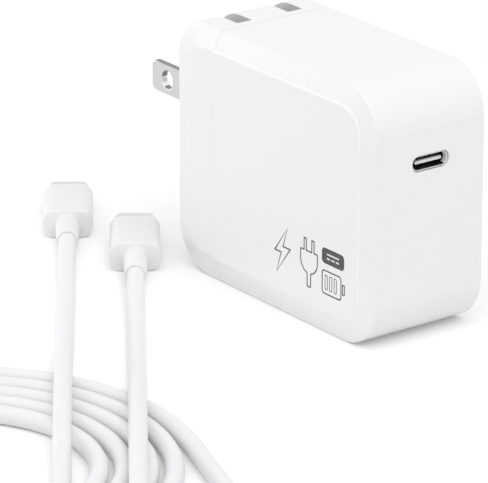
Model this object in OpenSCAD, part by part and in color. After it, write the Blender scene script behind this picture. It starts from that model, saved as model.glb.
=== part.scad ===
// Wall charger with folding mains prongs and one USB-C port, and its coiled USB-C lead.
// X runs from the prong end to the port end, Y across the thickness, Z up.
// The origin is the middle of the narrow side that the charger stands on.
// All sizes are in millimetres.

/* [Housing] */
// Length from the prong face to the port face
body_l = 65; // [60:1:74]
// Height as it stands on its narrow side
body_h = 53.7; // [52:0.1:62]
// Thickness across the two large panels
body_t = 28.3; // [27:0.1:33]
// Corner radius of the outline at three corners
corner_r = 10; // [8:0.5:14]
// Corner radius at the top of the prong end, under the finger notches
notch_corner_r = 9; // [6:0.5:10]
// Width of the sloped rim around each large panel
rim_w = 4.9; // [3:0.1:5.4]
// How far a panel stands proud of the outer edge of its rim
panel_rise = 0.8; // [0.5:0.1:1.2]
// Width and height of the small lip around a panel
panel_lip = 0.25; // [0.15:0.05:0.4]
// Radius between the side band and the rim
edge_r = 0.5; // [0.4:0.1:1.4]
// Wall of the main shell at the side band
wall = 2; // [1.6:0.1:2.2]

/* [Parting line] */
// Distance from the prong face to the parting line on the side band
seam_x = 15; // [15:0.1:17]
// Step of the parting line towards the prongs where it crosses the rim
seam_step = 2.1; // [1:0.1:2.2]
// Width of the groove at the parting line
seam_gap = 0.06; // [0.05:0.01:0.2]
// Length of the cap's spigot inside the shell
spigot_l = 3; // [2:0.5:4]
// Thickness of the spigot
spigot_t = 1.2; // [1:0.1:1.5]
// Gap around the spigot
spigot_fit = 0.1; // [0.05:0.01:0.2]

/* [Prongs] */
// Distance from the top to the blades' middle
blade_down = 19; // [19:0.5:21]
// Distance between the middles of the blades
blade_pitch = 12.7; // [12.2:0.1:13.2]
// Width of a blade
blade_w = 6.35; // [6:0.05:6.55]
// Thickness of a blade
blade_t = 1.5; // [1.3:0.1:1.7]
// How far the blades stand out of the prong face
blade_out = 18; // [16:0.1:18.2]
// Corner radius at the tip of a blade
blade_tip_r = 1.2; // [1:0.1:2.4]
// Diameter of the hole in a blade
blade_hole_d = 3.8; // [3:0.1:4]
// Distance from the prong face to the hole
blade_hole_at = 12.7; // [11:0.1:13]
// Depth of the pivot behind the prong face
pivot_in = 3.6; // [3.4:0.1:4]
// Height of the blade's middle above the pivot
blade_lift = 3.3; // [3.3:0.1:3.6]
// Hub material above the blade
hub_cover = 0.8; // [0.6:0.1:1.2]
// Radius of the hub's stub axles
axle_r = 1.8; // [1.4:0.1:2]
// Length of a stub axle
axle_l = 1.4; // [1:0.1:1.5]
// Running gap around a stub axle
axle_fit = 0.05; // [0.02:0.01:0.1]
// Gap around the turning hub
hub_gap = 0.3; // [0.2:0.05:0.4]
// Depth of the hub's two detent flats
detent_cut = 0.3; // [0.2:0.05:0.4]
// Gap on each side of a folded blade in its slot
slot_gap = 0.4; // [0.3:0.05:0.5]

/* [Finger notches] */
// Width of a notch
notch_w = 3.65; // [3:0.05:4.5]
// Distance from the prong face to the end of a notch
notch_l = 13; // [12.4:0.1:13.2]
// Depth of a notch below the top
notch_deep = 9; // [7:0.5:10]
// Radius at the bottom of a notch
notch_r = 3; // [1:0.5:4]
// Wall behind a notch and around the hub's well
well_wall = 1.4; // [1:0.1:1.5]

/* [Prong contacts] */
// Thickness of the retainer plate behind the hub
retainer_t = 1.8; // [1.4:0.1:2]
// Thickness of the detent and contact springs
spring_t = 0.3; // [0.2:0.05:0.4]
// Gap between a spring and the hub's round
spring_gap = 0.2; // [0.1:0.05:0.3]
// Width of the detent spring
detent_w = 6; // [4:0.5:7]
// Width of a contact spring
contact_w = 3.2; // [2:0.2:4]
// Half height of the contact springs
contact_half = 5; // [4:0.5:6]
// Width of a contact's solder tail
contact_tail = 3; // [2:0.5:3]
// Distance from the retainer to the foot of a contact's tail
contact_back = 0.6; // [0.5:0.1:1]
// Length of a tail on the main board
contact_lap = 1.2; // [1:0.1:1.3]

/* [USB-C port] */
// Height of the port's middle above the base
port_z = 37.4; // [36:0.2:39]
// Width of the metal receptacle shell
port_w = 9; // [8.9:0.1:9.2]
// Height of the metal receptacle shell
port_h = 3.2; // [3.1:0.05:3.4]
// Sheet thickness of the receptacle shell
port_skin = 0.28; // [0.2:0.02:0.35]
// Length of the receptacle
port_l = 7.4; // [6.5:0.1:9]
// How far the receptacle lies behind the port face
port_back = 0.4; // [0.05:0.05:0.45]
// Gap around the receptacle in the shell's wall
port_gap = 0.12; // [0.05:0.01:0.2]
// Width of the tongue
tongue_w = 6.7; // [6.4:0.1:7]
// Thickness of the tongue
tongue_t = 0.7; // [0.6:0.05:0.8]
// Distance of the tongue's tip behind the mouth
tongue_back = 0.6; // [0.4:0.1:1.2]
// Pitch of the contacts on the tongue
contact_pitch = 0.5; // [0.45:0.01:0.52]

/* [Circuit boards] */
// Thickness of the main board
board_t = 1.2; // [1:0.1:1.6]
// Distance from the shell's inner wall to the back of the main board
board_back = 0.8; // [0.6:0.1:1.2]
// Gap between the main board's edge and the shell
board_gap = 0.3; // [0.2:0.1:0.5]
// Height of the rails that hold the main board
rail_h = 1.2; // [0.8:0.1:1.6]
// Thickness of the rail in front of the main board
rail_t = 1.1; // [0.8:0.1:1.4]
// Gap between a rail and the main board
rail_gap = 0.1; // [0.05:0.01:0.2]
// Gap between neighbouring parts on the main board
part_gap = 0.6; // [0.4:0.1:0.7]
// Bare strip of the main board along its prong end
board_strip = 1.6; // [1.4:0.1:2]
// Thickness of the output board
port_board_t = 1; // [0.8:0.1:1.2]
// Length of the output board
port_board_l = 13; // [12:0.5:14]
// Board beyond the receptacle's side
port_board_rim = 3; // [2:0.5:5]

/* [Electronics] */
// Width of the transformer core
core_w = 20; // [18:0.5:20.5]
// Depth of the transformer core
core_d = 12; // [10:0.5:13]
// Thickness of the core's legs
core_leg = 3.3; // [3:0.1:3.6]
// Step from the edge of a bobbin flange to the winding
winding_in = 0.3; // [0.2:0.1:1]
// Diameter of the bobbin's tube
bobbin_d = 8; // [7.6:0.1:9]
// Thickness of a bobbin flange
flange_t = 0.8; // [0.6:0.1:1.2]
// Size of a power chip along the board
chip_w = 6; // [5:0.1:6]
// Diameter of a bulk capacitor
bulk_d = 10; // [8:0.5:10.5]
// Length of a bulk capacitor
bulk_h = 16; // [14:0.5:18]
// Outer diameter of the choke's ring
choke_d = 9.5; // [8:0.5:10]
// Inner diameter of the choke's ring
choke_bore = 4.5; // [4:0.5:5]
// Thickness of the choke's ring
choke_t = 5; // [4:0.5:6]
// Thickness of the choke's windings
choke_wire = 0.8; // [0.5:0.1:1]
// Varnish between the choke's ring and its windings
choke_varnish = 0.05; // [0.03:0.01:0.1]
// Arc that each choke winding covers, in degrees
winding_arc = 110; // [90:5:140]
// Size of the suppression capacitor along the board
xcap_w = 13; // [11:0.5:14]
// Thickness of the suppression capacitor
xcap_t = 6; // [5:0.5:6.5]
// Height of the suppression capacitor
xcap_h = 12; // [10:0.5:14]
// Diameter of the safety capacitor's disc
disc_d = 8; // [6:0.5:9]
// Thickness of the safety capacitor's disc
disc_t = 3; // [2:0.5:4]
// Height of the safety capacitor's disc above the board
disc_lift = 1.5; // [1:0.1:2]
// Diameter of a component lead
wire_d = 0.6; // [0.5:0.1:0.8]
// Diameter of the fuse
fuse_d = 4; // [3:0.5:4.5]
// Length of the fuse
fuse_l = 8; // [7:0.5:9]
// Diameter of an output capacitor
out_cap_d = 5; // [4.5:0.1:5.2]
// Height of an output capacitor
out_cap_h = 4.6; // [4:0.1:4.6]
// Thickness of the heat spreader
spreader_t = 0.8; // [0.5:0.1:1]
// Thickness of the insulating film
film_t = 0.25; // [0.15:0.05:0.3]
// Gap between the film and the heat spreader
film_gap = 0.15; // [0.1:0.05:0.3]
// Thermal pad between the core and the heat spreader
pad_t = 0.2; // [0.1:0.1:0.5]

/* [USB-C lead] */
// Diameter of the lead
lead_d = 3.6; // [3:0.1:4]
// Distance from turn to turn of the coil
coil_pitch = 4.6; // [4.4:0.1:5.4]
// Radius of the coil's first turn
coil_start_r = 25; // [24.5:0.5:26]
// Width of a plug's metal shell
plug_w = 8.25; // [8:0.05:8.5]
// Height of a plug's metal shell
plug_h = 2.4; // [2.3:0.05:2.6]
// Length of a plug's metal shell
plug_l = 6.65; // [6:0.05:7.5]
// Sheet thickness of a plug's shell
plug_skin = 0.3; // [0.2:0.02:0.4]
// Width of a plug's grip
grip_w = 10.4; // [9.5:0.1:12]
// Thickness of a plug's grip
grip_t = 6.2; // [5.6:0.1:7]
// Length of a plug's grip
grip_l = 16.7; // [14:0.1:20]
// Corner radius of a plug's grip
grip_r = 2.4; // [1.5:0.1:2.7]
// Diameter of the strain relief at the grip
relief_d = 5.2; // [4.8:0.1:5.5]
// Diameter of the strain relief at the lead
relief_end_d = 4.6; // [4.4:0.1:5]
// Length of the strain relief
relief_l = 9.7; // [8:0.1:12]

/* [Hidden] */
$fn = 64;

half_l = body_l / 2;
side_y = body_t / 2 - panel_rise;
over = 1;
rim_lap = 0.4;

// Outline corners: [centre x, centre z, radius, angle where the arc starts, straight before it]
CORNERS = [
    [half_l - corner_r, corner_r, corner_r, 270, body_l - 2 * corner_r],
    [half_l - corner_r, body_h - corner_r, corner_r, 0, body_h - 2 * corner_r],
    [notch_corner_r - half_l, body_h - notch_corner_r, notch_corner_r, 90,
        body_l - corner_r - notch_corner_r],
    [corner_r - half_l, corner_r, corner_r, 180, body_h - corner_r - notch_corner_r],
];

// The rim's slope, and the circle that rounds its outer edge
rim_angle = atan((panel_rise - panel_lip) / (rim_w - panel_lip));
edge_y = side_y + edge_r * tan(rim_angle) - edge_r / cos(rim_angle);

// Parting line
seam_side = seam_x - half_l;
seam_panel = seam_side - seam_step;
cap_wall = wall + spigot_fit + spigot_t;
cavity_y = side_y - wall;

// Hub, blades and the well around them
blade_z = body_h - blade_down;
blade_y = blade_pitch / 2;
hub_half = side_y - cap_wall - hub_gap;
hub_x = pivot_in - half_l;
hub_z = blade_z - blade_lift;
hub_top = blade_lift + blade_w / 2 + hub_cover;
hub_r = norm([pivot_in, hub_top]);
well_r = hub_r + hub_gap;
foot_r = pivot_in * sqrt(2) + hub_gap;
slot_back = hub_x + blade_lift + blade_w / 2 + slot_gap;
spring_x = hub_x + hub_r + spring_gap;
well_back = spring_x + spring_t + 0.1;
notch_end = notch_l - half_l;
notch_z = body_h - notch_deep;

// Boards and the rooms that the parts on them take
board_y = cavity_y - board_back - board_t;
board_x = seam_side + spigot_l + board_gap;
port_board_z = port_z - port_h / 2;
port_back_x = half_l - port_back - port_l;
film_y = -cavity_y;
spreader_y = film_y + film_t + film_gap;
// The core fills the room between the board and the heat spreader, less a thermal pad
core_h = board_y - spreader_y - spreader_t - pad_t;
bobbin_h = core_h - 2 * core_leg;
flange_d = core_w - 2 * core_leg - 0.2;

// Parts on the main board stand inside its rails: from the prong end, from the port end,
// in a lower row, in a row above it and hung from the top
board_rim = wall + rail_h + board_gap;
from_prongs = board_x + board_strip;
from_port = half_l - board_rim - part_gap;
low_row = board_rim + part_gap / 2;
next_row = low_row + max(xcap_t, chip_w) + part_gap;
choke_w = choke_t + 2 * choke_wire;
corner_reach = corner_r - board_rim - out_cap_d / 2 - part_gap / 2;
bridge_half = 0.45 * chip_w + part_gap;

// Middles of the parts on the main board: [x, z]
XCAP = [from_prongs + xcap_w / 2, low_row + xcap_t / 2];
SWITCH = [from_prongs + xcap_w + part_gap + chip_w / 2, low_row + chip_w / 2];
CHOKE = [from_prongs + choke_w / 2, next_row + choke_d / 2 + choke_wire];
TRANSFORMER = [
    from_prongs + choke_w + part_gap + core_w / 2, next_row + max(core_d, flange_d) / 2,
];
BULK = [for (i = [0, 1], j = [0, 1]) [
    from_prongs + bulk_d / 2 + i * (bulk_d + part_gap),
    body_h - low_row - bulk_d / 2 - j * (bulk_d + part_gap),
]];
OUT_CAPS = [for (i = [0, 1]) [
    half_l - corner_r + corner_reach * cos(55) - i * (out_cap_d + part_gap),
    body_h - corner_r + corner_reach * sin(55),
]];
BRIDGE = [from_port - chip_w / 2, port_board_z - port_board_t - part_gap - bridge_half];
FUSE = [from_port - fuse_d / 2, BRIDGE[1] - bridge_half - part_gap - fuse_l / 2];
YCAP = [from_port - part_gap - disc_t / 2, FUSE[1] - fuse_l / 2 - part_gap - disc_d / 2];

// The lead lies on the surface that the charger stands on, in a frame of its own:
// u to the right and v away from the viewer, from the middle of the coil
lead_place = [33, -114.2, 0];
lead_turn = 55;
lead_z = lead_d / 2 + 0.05;
plug_z = grip_t / 2;
coil_from = -60;
coil_steps = 115;
loop_rings = 24;
coil_sides = 6;
run_sides = 8;

// Where the strain reliefs end and the runs start: [u, v]
RELIEF_A = [22, 116];
RELIEF_B = [36, 96];

// Heights along the runs: on the surface, on top of the turns, and in the plugs' middle
low = lead_z;
crossing_gap = 0.75;
top = lead_z + lead_d + crossing_gap;

// Route from plug A over the far turns, down inside the coil and into its first turn
ROUTE_A = [
    [22, 116, plug_z], [22, 109, 3.0], [22, 102, 2.3], [22, 94, low], [22, 86, low],
    [22, 79, low], [22, 72, low], [22, 65, low], [22, 59, 2.3], [22, 53, 4.1],
    [22, 47, 5.8], [22, 40, top], [22, 32, top], [22, 24, top], [22, 18, 6.1],
    [22, 12, 4.9], [22, 6, 3.2], [22, 0, 2.1], [22, -7, low], [21.3, -12.5, low],
    [19, -16.9, low],
];

// Route from the coil's last turn round a wide bend, over the turns and to plug B
ROUTE_B = [
    [48.6, 1.1, low], [50.8, -6.6, low], [53, -14.3, low], [55.2, -22, low],
    [57.4, -29.8, low], [59.3, -36.6, low], [59.8, -42, low], [57.6, -47.2, low],
    [53.3, -50.8, low], [48, -52, low], [42.7, -50.8, 2.1], [38.4, -47.2, 2.9],
    [36.2, -42.1, 4.2], [36, -35, 5.6], [36, -28, top], [36, -20, top],
    [36, -12, top], [36, -4, top], [36, 4, top], [36, 12, top], [36, 20, top],
    [36, 27, 6.2], [36, 33, 5.6], [36, 39, 3.9], [36, 45, 2.4], [36, 52, low],
    [36, 60, low], [36, 68, low], [36, 75, low], [36, 82, 2.3], [36, 89, 3.0],
    [36, 96, plug_z],
];

// ---------- Shapes that several pieces share ----------

// The outline seen along Y, drawn in by inset, laid in the XY plane with z as y
module outline(inset) {
    difference() {
        translate([inset - half_l, inset]) square([body_l - 2 * inset, body_h - 2 * inset]);
        for (c = CORNERS)
            translate([c[0], c[1]]) rotate(c[3]) square(c[2] + over);
    }
    for (c = CORNERS)
        translate([c[0], c[1]]) circle(r = c[2] - inset);
}

// A flat shape drawn in x and z, made thick from y0 to y1
module plate(y0, y1) {
    translate([0, y1, 0]) rotate([90, 0, 0]) linear_extrude(y1 - y0) children();
}

module inner_block(inset) {
    plate(inset - side_y, side_y - inset) outline(inset);
}

module x_slab(x0, x1) {
    translate([x0, -body_t, -over]) cube([x1 - x0, 2 * body_t, body_h + 2 * over]);
}

// Cross-section of the band between the outline and a panel: depth inwards, then y
module rim_section() {
    rim_y = body_t / 2 - panel_lip;
    touch = [edge_r - edge_r * sin(rim_angle), edge_y + edge_r * cos(rim_angle)];
    upper = [
        [0, edge_y], touch, [rim_w - panel_lip, rim_y], [rim_w, body_t / 2],
        [rim_w + rim_lap, body_t / 2],
    ];
    lower = [for (i = [len(upper) - 1:-1:0]) [upper[i][0], -upper[i][1]]];
    polygon(concat(upper, lower));
    for (side = [-1, 1])
        translate([edge_r, side * edge_y]) circle(r = edge_r);
}

// The moulded outer form: two raised panels and the rim swept round them
module housing_form() {
    plate(-body_t / 2, body_t / 2) outline(rim_w + rim_lap / 2);
    for (c = CORNERS)
        translate([c[0], 0, c[1]]) rotate([90, 0, 0]) rotate([0, 0, c[3]]) {
            rotate_extrude(angle = 90) translate([c[2], 0]) mirror([1, 0]) rim_section();
            rotate([90, 0, 0]) linear_extrude(c[4])
                translate([c[2], 0]) mirror([1, 0]) rim_section();
        }
}

// Everything on the prong side of the parting line, which steps back over the rims
module cap_side(gap) {
    plate(-body_t, body_t) polygon([
        [-half_l - over, -over], [seam_side + gap, -over], [seam_side + gap, 0],
        [seam_panel + gap, rim_w], [seam_panel + gap, body_h - rim_w],
        [seam_side + gap, body_h], [seam_side + gap, body_h + over],
        [-half_l - over, body_h + over],
    ]);
}

// A slot with round ends, seen along X: w wide in Y and h high in Z
module stadium(w, h) {
    for (side = [-1, 1])
        translate([side * (w - h) / 2, 0]) circle(d = h);
    square([w - h, h], center = true);
}

// A shape drawn in y and z, pushed along X from x0 to x1
module along_x(x0, x1) {
    translate([x0, 0, 0]) rotate([90, 0, 90]) linear_extrude(x1 - x0) children();
}

// A part that stands on the main board at place, drawn with its base at z = 0
module on_board(place) {
    translate([place[0], board_y, place[1]]) rotate([90, 0, 0]) children();
}

module box(size, at) {
    translate(at) translate([-size[0] / 2, -size[1] / 2, 0]) cube(size);
}

// ---------- Housing ----------

module main_shell() {
    color("white") {
        difference() {
            housing_form();
            cap_side(seam_gap);
            inner_block(wall);
            along_x(half_l - wall - over, half_l + over)
                translate([0, port_z]) stadium(port_w + 2 * port_gap, port_h + 2 * port_gap);
        }
        // rails that hold the main board along its edge
        intersection() {
            union() {
                board_rail(board_y - rail_gap - rail_t, board_y - rail_gap);
                board_rail(board_y + board_t + rail_gap, cavity_y);
            }
            x_slab(board_x, half_l - wall / 2);
        }
    }
}

module board_rail(y0, y1) {
    plate(y0, y1) difference() {
        outline(wall - 0.2);
        outline(wall + rail_h);
    }
}

module end_cap() {
    color("white") difference() {
        union() {
            difference() {
                union() {
                    intersection() {
                        housing_form();
                        cap_side(0);
                    }
                    intersection() {
                        inner_block(wall + spigot_fit);
                        x_slab(seam_panel - over, seam_side + spigot_l);
                    }
                }
                inner_block(cap_wall);
            }
            well_block();
        }
        hub_well();
        for (side = [-1, 1]) {
            blade_slot(side);
            finger_notch(side);
            axle_slot(side);
        }
    }
}

// Solid stock in the cap around the hub, the slots and the notches
module well_block() {
    inner = side_y - cap_wall + 0.2;
    floor_z = hub_z - well_r - well_wall;
    intersection() {
        inner_block(cap_wall - 0.2);
        union() {
            translate([-half_l, -inner, floor_z])
                cube([well_back + half_l, 2 * inner, body_h - floor_z]);
            translate([-half_l, -inner, notch_z - well_wall])
                cube([notch_end + well_wall + half_l, 2 * inner, notch_deep + well_wall]);
        }
    }
}

// The room that the hub sweeps, open to the rear, where the hub goes in
module hub_well() {
    reach = hub_half + hub_gap;
    translate([hub_x, 0, hub_z]) plate(-reach, reach) {
        circle(r = foot_r);
        difference() {
            circle(r = well_r);
            translate([-2 * well_r - hub_gap, -2 * well_r - hub_gap]) square(2 * well_r);
        }
        translate([-hub_gap, -well_r]) square([half_l, 2 * well_r]);
    }
}

module blade_slot(side) {
    half = blade_t / 2 + slot_gap;
    plate(side * blade_y - half, side * blade_y + half)
        translate([-half_l - over, hub_z])
            square([slot_back + half_l + over, body_h - hub_z - notch_deep / 2]);
}

module finger_notch(side) {
    long = notch_l + over;
    plate(side * blade_y - notch_w / 2, side * blade_y + notch_w / 2)
        translate([notch_end - long, notch_z]) {
            square([long - notch_r, notch_deep + over]);
            translate([0, notch_r]) square([long, notch_deep + over - notch_r]);
            translate([long - notch_r, notch_r]) circle(r = notch_r);
        }
}

// Bearing for a stub axle: round in front, open to the rear
module axle_slot(side) {
    r = axle_r + axle_fit;
    far = side * (hub_half + axle_l + axle_fit);
    plate(min(0, far), max(0, far)) {
        translate([hub_x, hub_z]) circle(r = r);
        translate([hub_x, hub_z - r]) square([half_l, 2 * r]);
    }
}

// ---------- Folding prongs ----------

// Section of the hub round its pivot: round above, square below, with two detent flats
module hub_section() {
    flat = hub_r - detent_cut;
    intersection() {
        circle(r = hub_r);
        translate([-pivot_in, 0]) square([pivot_in + flat, flat]);
    }
    translate([-pivot_in, -pivot_in]) square([2 * pivot_in, pivot_in]);
}

// Outline of a blade round the pivot, from its tip to the hub's rear
module blade_section() {
    tip = -pivot_in - blade_out;
    low_edge = blade_lift - blade_w / 2;
    flat = hub_r - detent_cut;
    intersection() {
        union() {
            translate([tip + blade_tip_r, low_edge]) square([hub_r - tip, blade_w]);
            translate([tip, low_edge + blade_tip_r])
                square([blade_tip_r + over, blade_w - 2 * blade_tip_r]);
            for (z = [low_edge + blade_tip_r, low_edge + blade_w - blade_tip_r])
                translate([tip + blade_tip_r, z]) circle(r = blade_tip_r);
        }
        union() {
            circle(r = hub_r);
            translate([tip - over, -hub_r]) square([blade_out + over + over, 2 * hub_r]);
        }
        translate([tip - over, -hub_r]) square([flat - tip + over, 2 * hub_r]);
    }
}

module prong_hub() {
    color("white") difference() {
        translate([hub_x, 0, hub_z]) {
            plate(-hub_half, hub_half) hub_section();
            plate(-hub_half - axle_l, hub_half + axle_l) circle(r = axle_r);
        }
        for (side = [-1, 1])
            blade_solid(side);
    }
}

module blade_solid(side) {
    translate([hub_x, side * blade_y, hub_z])
        plate(-blade_t / 2, blade_t / 2) blade_section();
}

module blade(side) {
    color("silver") difference() {
        blade_solid(side);
        translate([-half_l - blade_hole_at, side * blade_y, blade_z]) rotate([90, 0, 0])
            cylinder(d = blade_hole_d, h = 2 * blade_t, center = true);
    }
}

module line_blade() {
    blade(-1);
}

module neutral_blade() {
    blade(1);
}

// Plate that closes the well from behind, with tongues that hold the axles
module hub_retainer() {
    r = axle_r + axle_fit;
    reach = side_y - cap_wall - spigot_fit;
    tall = well_r + well_wall;
    back = well_back + retainer_t;
    tip = hub_half + axle_l - axle_fit;
    color("gainsboro") difference() {
        union() {
            translate([well_back, -reach, hub_z - tall]) cube([retainer_t, 2 * reach, 2 * tall]);
            translate([well_back, -tip, hub_z - axle_r]) cube([retainer_t, 2 * tip, 2 * axle_r]);
            for (side = [-1, 1]) {
                far = side * tip;
                near = side * (hub_half + hub_gap + axle_fit);
                plate(min(far, near), max(far, near))
                    translate([hub_x, hub_z - axle_r])
                        square([back - hub_x, 2 * axle_r]);
            }
        }
        translate([hub_x, 0, hub_z]) rotate([90, 0, 0])
            cylinder(r = r, h = body_t, center = true);
        // windows for the two contacts
        for (side = [-1, 1])
            translate([well_back - over, side * blade_y - contact_w / 2 - hub_gap,
                    hub_z + side * (contact_half - spring_t / 2) - spring_t])
                cube([retainer_t + 2 * over, contact_w + 2 * hub_gap, 2 * spring_t]);
    }
}

// Leaf behind the hub, with feet that rest on the retainer
module detent_spring() {
    leg = well_r - hub_gap;
    color("silver") plate(-detent_w / 2, detent_w / 2)
        translate([spring_x, hub_z]) {
            translate([0, -leg]) square([spring_t, 2 * leg]);
            for (end = [-leg, leg - spring_t])
                translate([0, end]) square([well_back - spring_x, spring_t]);
        }
}

// Contact leaf behind a blade's root, its tab through the retainer and its solder tail
module contact(side) {
    back = well_back + retainer_t + contact_back;
    edge = side * contact_half;
    z0 = min(edge, edge - side * spring_t);
    tail_z = side > 0 ? z0 : z0 + spring_t - contact_tail;
    color("gold") translate([0, 0, hub_z]) {
        translate([0, side * blade_y - contact_w / 2, 0]) {
            translate([spring_x, 0, -contact_half]) cube([spring_t, contact_w, 2 * contact_half]);
            translate([spring_x, 0, z0]) cube([back - spring_x, contact_w, spring_t]);
        }
        translate([back - spring_t, side * blade_y - contact_w / 2, tail_z])
            cube([spring_t, board_y - side * blade_y + contact_w / 2, contact_tail]);
        translate([back - spring_t, board_y - spring_t, tail_z])
            cube([board_x + contact_lap - back + spring_t, spring_t, contact_tail]);
    }
}

module line_contact() {
    contact(-1);
}

module neutral_contact() {
    contact(1);
}

// ---------- USB-C port ----------

module usb_port_shell() {
    color("lightsteelblue") difference() {
        along_x(port_back_x, half_l - port_back)
            translate([0, port_z]) stadium(port_w, port_h);
        along_x(port_back_x + 2 * port_skin, half_l)
            translate([0, port_z]) stadium(port_w - 2 * port_skin, port_h - 2 * port_skin);
    }
}

module usb_port_tongue() {
    root = port_back_x + 2 * port_skin;
    base_l = port_l / 4;
    tip = half_l - port_back - tongue_back;
    color("dimgray") translate([0, 0, port_z]) {
        along_x(root, root + base_l) stadium(port_w - 2 * port_skin, port_h - 2 * port_skin);
        translate([root, -tongue_w / 2, -tongue_t / 2]) cube([tip - root, tongue_w, tongue_t]);
    }
    // twelve contacts on each side of the tongue
    color("gold") for (k = [-5.5:5.5], side = [-1, 1])
        translate([root + base_l - 0.2, k * contact_pitch - contact_pitch / 4,
                port_z + side * tongue_t / 2 - 0.04])
            cube([tip - root - base_l - 0.4, contact_pitch / 2, 0.08]);
}

module output_board() {
    front = half_l - wall - rail_h - board_gap;
    side = port_w / 2 + port_board_rim;
    color("seagreen")
        translate([front - port_board_l, -side, port_board_z - port_board_t])
            cube([port_board_l, board_y + side, port_board_t]);
}

// ---------- Electronics ----------

module main_board() {
    color("seagreen") plate(board_y, board_y + board_t) intersection() {
        outline(wall + board_gap);
        translate([board_x, 0]) square([half_l - board_x, body_h]);
    }
}

// Ferrite frame with a round middle leg, its gap pad just under the heat spreader
module transformer_core() {
    window_w = core_w - 2 * core_leg;
    color("dimgray") on_board(TRANSFORMER) {
        difference() {
            box([core_w, core_d, core_h], [0, 0, 0]);
            box([window_w, core_d + over, core_h - 2 * core_leg], [0, 0, core_leg]);
        }
        cylinder(d = 2 * core_leg, h = core_h - core_leg);
    }
}

module transformer_bobbin() {
    color("black") on_board(TRANSFORMER) translate([0, 0, core_leg]) difference() {
        union() {
            cylinder(d = bobbin_d, h = bobbin_h);
            cylinder(d = flange_d, h = flange_t);
            translate([0, 0, bobbin_h - flange_t]) cylinder(d = flange_d, h = flange_t);
        }
        translate([0, 0, -over]) cylinder(d = 2 * core_leg, h = bobbin_h + 2 * over);
    }
}

module transformer_winding() {
    color("goldenrod") on_board(TRANSFORMER) translate([0, 0, core_leg + flange_t])
        difference() {
            cylinder(d = flange_d - 2 * winding_in, h = bobbin_h - 2 * flange_t);
            translate([0, 0, -over]) cylinder(d = bobbin_d, h = bobbin_h + 2 * over);
        }
}

// Aluminium can with a crimped groove near its foot and a rounded shoulder
module can(d, h) {
    r = d / 2;
    groove = d / 20;
    rotate_extrude() polygon([
        [0, 0], [r, 0], [r, 3 * groove], [r - groove, 4 * groove], [r, 5 * groove],
        [r, h - groove], [r - groove, h], [0, h],
    ]);
}

module bulk_capacitors() {
    color("midnightblue")
        for (place = BULK)
            on_board(place) can(bulk_d, bulk_h);
}

module output_capacitors() {
    color("silver")
        for (place = OUT_CAPS)
            on_board(place) can(out_cap_d, out_cap_h);
}

module choke_frame() {
    on_board(CHOKE)
        translate([-choke_t / 2, 0, choke_d / 2 + choke_wire]) rotate([0, 90, 0]) children();
}

module choke_core() {
    color("darkgreen") choke_frame() difference() {
        cylinder(d = choke_d, h = choke_t);
        translate([0, 0, -over]) cylinder(d = choke_bore, h = choke_t + 2 * over);
    }
}

// Two windings, one on each side of the ring
module choke_windings() {
    ring_w = (choke_d - choke_bore) / 2;
    v = choke_varnish;
    color("peru") choke_frame()
        for (start = [-winding_arc / 2, 180 - winding_arc / 2])
            rotate([0, 0, start]) rotate_extrude(angle = winding_arc)
                difference() {
                    translate([choke_bore / 2 - choke_wire, -choke_wire])
                        square([ring_w + 2 * choke_wire, choke_t + 2 * choke_wire]);
                    translate([choke_bore / 2 - v, -v]) square([ring_w + 2 * v, choke_t + 2 * v]);
                }
}

module suppression_capacitor() {
    color("gold") on_board(XCAP) box([xcap_w, xcap_t, xcap_h], [0, 0, 0]);
}

// Ceramic disc on two leads
module safety_capacitor() {
    color("steelblue") on_board(YCAP) {
        translate([0, 0, disc_lift + disc_d / 2]) rotate([0, 90, 0])
            cylinder(d = disc_d, h = disc_t, center = true);
        for (side = [-1, 1])
            translate([0, side * disc_d / 4, 0]) cylinder(d = wire_d, h = disc_lift + disc_d / 4);
    }
}

// Ceramic tube between two end caps, lying on the board
module fuse() {
    cap_l = fuse_l / 5;
    color("white") on_board(FUSE) translate([0, fuse_l / 2, fuse_d / 2]) rotate([90, 0, 0]) {
        translate([0, 0, cap_l / 2]) cylinder(d = 0.9 * fuse_d, h = fuse_l - cap_l);
        for (z = [0, fuse_l - cap_l])
            translate([0, 0, z]) cylinder(d = fuse_d, h = cap_l);
    }
}

module bridge_rectifier() {
    color("black") on_board(BRIDGE) {
        box([chip_w, 0.8 * chip_w, 1.4], [0, 0, 0.2]);
        for (x = [-1, 1])
            box([1, 2 * bridge_half, 0.3], [x * chip_w / 4, 0, 0]);
    }
}

module power_switch() {
    color("black") on_board(SWITCH) box([chip_w, chip_w, 0.9], [0, 0, 0]);
}

module heat_spreader() {
    color("silver") plate(spreader_y, spreader_y + spreader_t) intersection() {
        outline(wall + 2 * board_gap);
        translate([board_x, 0]) square([half_l - board_x, body_h]);
    }
}

module insulating_film() {
    color("khaki") plate(film_y, film_y + film_t) intersection() {
        outline(wall + board_gap);
        translate([board_x, 0]) square([half_l - board_x, body_h]);
    }
}

// ---------- USB-C lead ----------

module on_surface() {
    translate(lead_place) rotate([0, 0, lead_turn]) children();
}

// A plug's frame: the middle of its axis where the strain relief ends, pointing along v
module plug_frame(place) {
    on_surface() translate([place[0], place[1], plug_z]) children();
}

module rounded_bar(w, h, r) {
    for (x = [-1, 1], y = [-1, 1])
        translate([x * (w / 2 - r), y * (h / 2 - r)]) circle(r = r);
    square([w - 2 * r, h], center = true);
    square([w, h - 2 * r], center = true);
}

module plug_shell(place) {
    start = relief_l + grip_l;
    color("silver") plug_frame(place) difference() {
        plate(start, start + plug_l) stadium(plug_w, plug_h);
        plate(start + plug_skin, start + plug_l + over)
            stadium(plug_w - 2 * plug_skin, plug_h - 2 * plug_skin);
    }
}

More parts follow.
